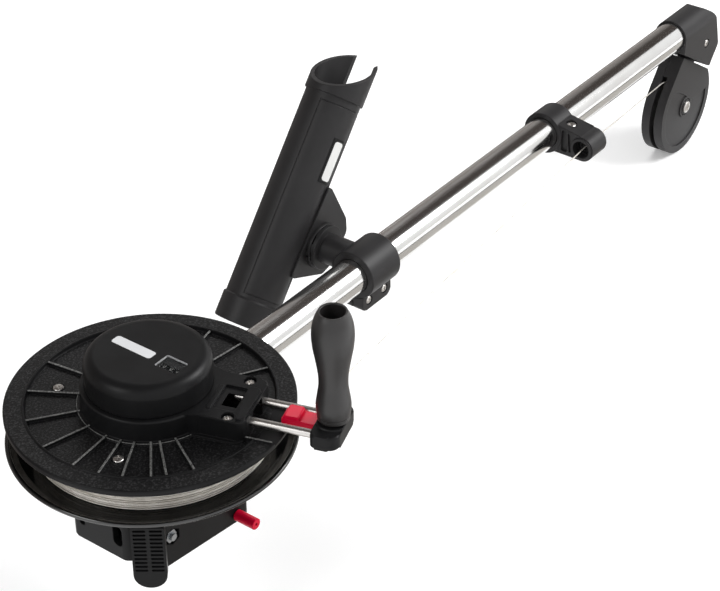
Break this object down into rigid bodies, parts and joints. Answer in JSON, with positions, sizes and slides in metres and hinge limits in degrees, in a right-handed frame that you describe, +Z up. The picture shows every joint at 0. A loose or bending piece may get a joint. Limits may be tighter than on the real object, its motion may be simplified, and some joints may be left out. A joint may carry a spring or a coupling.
{
  "type": "downrigger",
  "caption": "Manual fishing downrigger: flat cable spool with folding crank and counter on a moulded frame, long boom with rod holder, cable guide and swivelling pulley head.",
  "frame": {"origin": "the point where the spool axle's line meets the flat mounting face under the frame", "axes": "+Z up along the spool axle, +X outboard along the boom, +Y to the left seen from behind the reel"},
  "size_m": [1.023, 0.2807, 0.3079],
  "materials": {
    "moulded_black": "satin glass-filled nylon, fine moulded grain",
    "gloss_black": "glossy moulded black",
    "red_moulding": "bright red moulded plastic",
    "white_moulding": "natural acetal",
    "clear_window": "clear polycarbonate",
    "stainless_tube": "polished stainless tube",
    "bright_steel": "bright stainless",
    "steel_wire": "stranded stainless cable",
    "bronze": "plain bronze"
  },
  "bodies": {
    "frame": {"main_frame": "moulded_black", "mount_shoe": "moulded_black", "boom": "stainless_tube", "boom_bolt_1": "bright_steel", "boom_bolt_2": "bright_steel", "axle": "bright_steel", "axle_nut": "bright_steel", "top_nut": "bright_steel", "thrust_washer": "bronze", "counter_base": "moulded_black", "counter_cover": "moulded_black", "counter_window": "clear_window", "lever_bolt": "bright_steel", "lever_nut": "bright_steel", "lever_spring": "bright_steel", "holder_clamp": "moulded_black", "clamp_screw_1": "bright_steel", "clamp_screw_2": "bright_steel", "holder_bolt": "bright_steel", "cable_guide": "moulded_black", "guide_eyelet": "white_moulding", "guide_screw": "bright_steel", "tip_cap": "moulded_black", "tip_screw": "bright_steel", "swivel_bolt": "bright_steel", "cable_run": "steel_wire"},
    "spool": {"spool_body": "gloss_black", "spool_bush": "bronze", "cable_layers": "steel_wire", "cable_winding": "steel_wire", "drive_gear": "white_moulding"},
    "crank": {"crank_plate": "moulded_black", "clutch_ring": "bright_steel", "plate_screw_1": "bright_steel", "plate_screw_2": "bright_steel", "plate_screw_3": "bright_steel", "plate_screw_4": "bright_steel", "plate_screw_5": "bright_steel"},
    "crank_arm": {"arm_rod_front": "bright_steel", "arm_rod_rear": "bright_steel", "arm_end_block": "moulded_black", "grip_spindle": "bright_steel", "latch_spring": "bright_steel"},
    "grip": {"grip": "moulded_black"},
    "arm_latch": {"arm_latch": "red_moulding"},
    "counter_jack": {"counter_jack": "white_moulding"},
    "counter_shaft": {"counter_shaft": "white_moulding", "units_wheel": "white_moulding"},
    "tens_wheel": {"tens_wheel": "white_moulding"},
    "hundreds_wheel": {"hundreds_wheel": "white_moulding"},
    "rod_holder": {"rod_holder": "moulded_black"},
    "pulley_head": {"pulley_near_half": "moulded_black", "pulley_far_half": "moulded_black", "sheave_axle": "bright_steel", "cable_tail": "steel_wire"},
    "sheave": {"sheave": "white_moulding"},
    "latch_lever": {"latch_lever": "moulded_black"},
    "lock_pin": {"lock_pin": "red_moulding"}
  },
  "joints": [
    {"name": "spool_spin", "type": "hinge", "parent": "frame", "child": "spool", "pos_m": [0, 0, 0.095], "axis": [0, 0, 1], "continuous": true},
    {"name": "crank_spin", "type": "hinge", "parent": "frame", "child": "crank", "pos_m": [0, 0, 0.112], "axis": [0, 0, 1], "continuous": true},
    {"name": "arm_slide", "type": "slide", "parent": "crank", "child": "crank_arm", "axis": [0.309, -0.9511, 0], "range_m": [-0.045, 0]},
    {"name": "grip_spin", "type": "hinge", "parent": "crank_arm", "child": "grip", "pos_m": [0.04326, -0.13315, 0.17], "axis": [0, 0, 1], "continuous": true},
    {"name": "latch_press", "type": "slide", "parent": "crank_arm", "child": "arm_latch", "axis": [0, 0, -1], "range_m": [0, 0.0012], "stiffness_N_per_m": 600, "deforming": ["latch_spring"]},
    {"name": "jack_spin", "type": "hinge", "parent": "frame", "child": "counter_jack", "pos_m": [0.0063, -0.01, 0.14], "axis": [0, 0, 1], "continuous": true},
    {"name": "units_spin", "type": "hinge", "parent": "frame", "child": "counter_shaft", "pos_m": [-0.0015, -0.02, 0.143], "axis": [0, 1, 0], "continuous": true},
    {"name": "tens_spin", "type": "hinge", "parent": "frame", "child": "tens_wheel", "pos_m": [-0.0015, -0.024, 0.143], "axis": [0, 1, 0], "continuous": true},
    {"name": "hundreds_spin", "type": "hinge", "parent": "frame", "child": "hundreds_wheel", "pos_m": [-0.0015, -0.0178, 0.143], "axis": [0, 1, 0], "continuous": true},
    {"name": "holder_turn", "type": "hinge", "parent": "frame", "child": "rod_holder", "pos_m": [0.304, 0.08, 0.057], "axis": [0, 1, 0], "continuous": true},
    {"name": "head_swivel", "type": "hinge", "parent": "frame", "child": "pulley_head", "pos_m": [0.8709, 0.03, 0.0153], "axis": [0.5299, 0, 0.848], "range_deg": [-30, 30], "deforming": ["cable_run"]},
    {"name": "sheave_spin", "type": "hinge", "parent": "pulley_head", "child": "sheave", "pos_m": [0.864, 0.03, -0.035], "axis": [0, 1, 0], "continuous": true},
    {"name": "lever_press", "type": "hinge", "parent": "frame", "child": "latch_lever", "pos_m": [-0.031, -0.028, 0.025], "axis": [0, 1, 0], "range_deg": [0, 8], "stiffness_Nm_per_rad": 0.5},
    {"name": "pin_pull", "type": "slide", "parent": "frame", "child": "lock_pin", "axis": [0, -1, 0], "range_m": [0, 0.009]}
  ],
  "couplings": [
    {"joint": "crank_spin", "follows": "spool_spin", "ratio": 1},
    {"joint": "jack_spin", "follows": "spool_spin", "ratio": -2},
    {"joint": "units_spin", "follows": "spool_spin", "ratio": -0.2},
    {"joint": "tens_spin", "follows": "spool_spin", "ratio": -0.02},
    {"joint": "hundreds_spin", "follows": "spool_spin", "ratio": -0.002}
  ]
}
